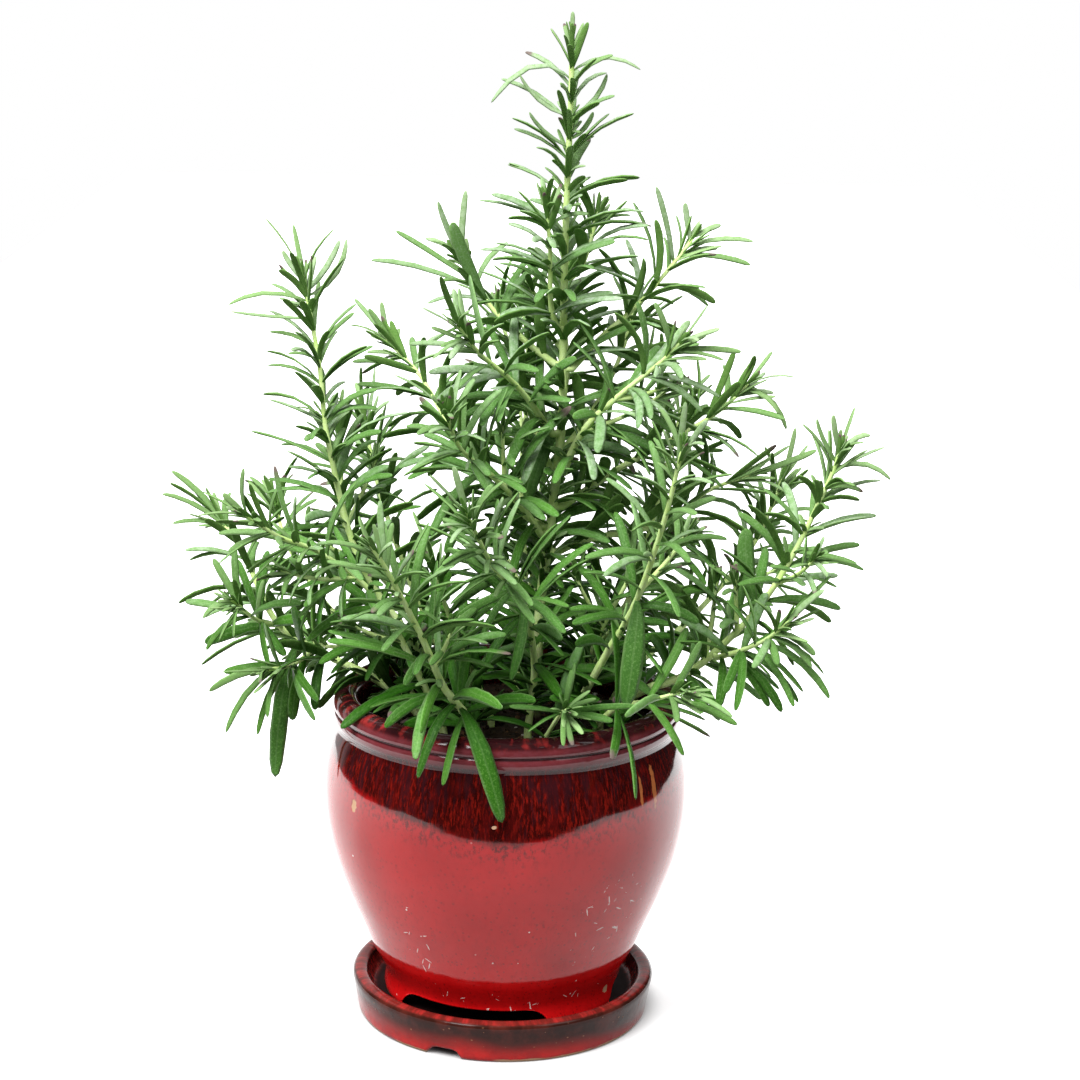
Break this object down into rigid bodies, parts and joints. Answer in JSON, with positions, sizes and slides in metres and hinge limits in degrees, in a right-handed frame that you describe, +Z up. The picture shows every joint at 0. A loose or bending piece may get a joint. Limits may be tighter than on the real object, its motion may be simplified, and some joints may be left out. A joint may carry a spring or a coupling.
{
  "type": "potted rosemary plant",
  "caption": "Bushy rosemary plant with narrow leaves in crossed pairs, growing in a round-bellied glazed pot on arched feet that stands in a matching saucer.",
  "frame": {"origin": "on the table, under the pot's axis: the centre of the saucer's underside, which is also the middle of the box's bottom within 3 mm", "axes": "+Z up along the pot's axis; -Y is the front of the plant, which the picture shows; +X is to the right as seen from the front"},
  "size_m": [0.292, 0.2328, 0.413],
  "materials": {
    "pot_glaze": "gloss",
    "saucer_glaze": "gloss",
    "potting_soil": "matte",
    "rosemary": "satin",
    "woody_rosemary": "satin"
  },
  "bodies": {
    "root": {"saucer": "saucer_glaze", "pot": "pot_glaze", "soil": "potting_soil", "trunk": "woody_rosemary", "left_tall": "rosemary", "left_second": "rosemary", "front_right": "rosemary", "far_right": "rosemary", "low_right": "rosemary", "front": "rosemary", "front_left": "rosemary", "low_left": "rosemary", "middle_far_left": "rosemary", "centre_left": "rosemary", "centre_right": "rosemary", "low_front": "rosemary", "back_tall": "rosemary", "back_left": "rosemary", "back_right": "rosemary", "back_far_right": "rosemary", "back_low_left": "rosemary", "back_low": "rosemary", "back_low_right": "rosemary", "leader_left": "rosemary", "leader_right": "rosemary", "upper_right": "rosemary", "middle_right": "rosemary", "right": "rosemary", "long_right": "rosemary", "left_behind": "rosemary", "middle_left": "rosemary", "upper_left": "rosemary", "upper_left_front": "rosemary", "back_upper": "rosemary", "back_middle": "rosemary", "back_middle_right": "rosemary", "far_right_side": "rosemary", "low_left_side": "rosemary", "low_left_down": "rosemary"}
  },
  "joints": []
}
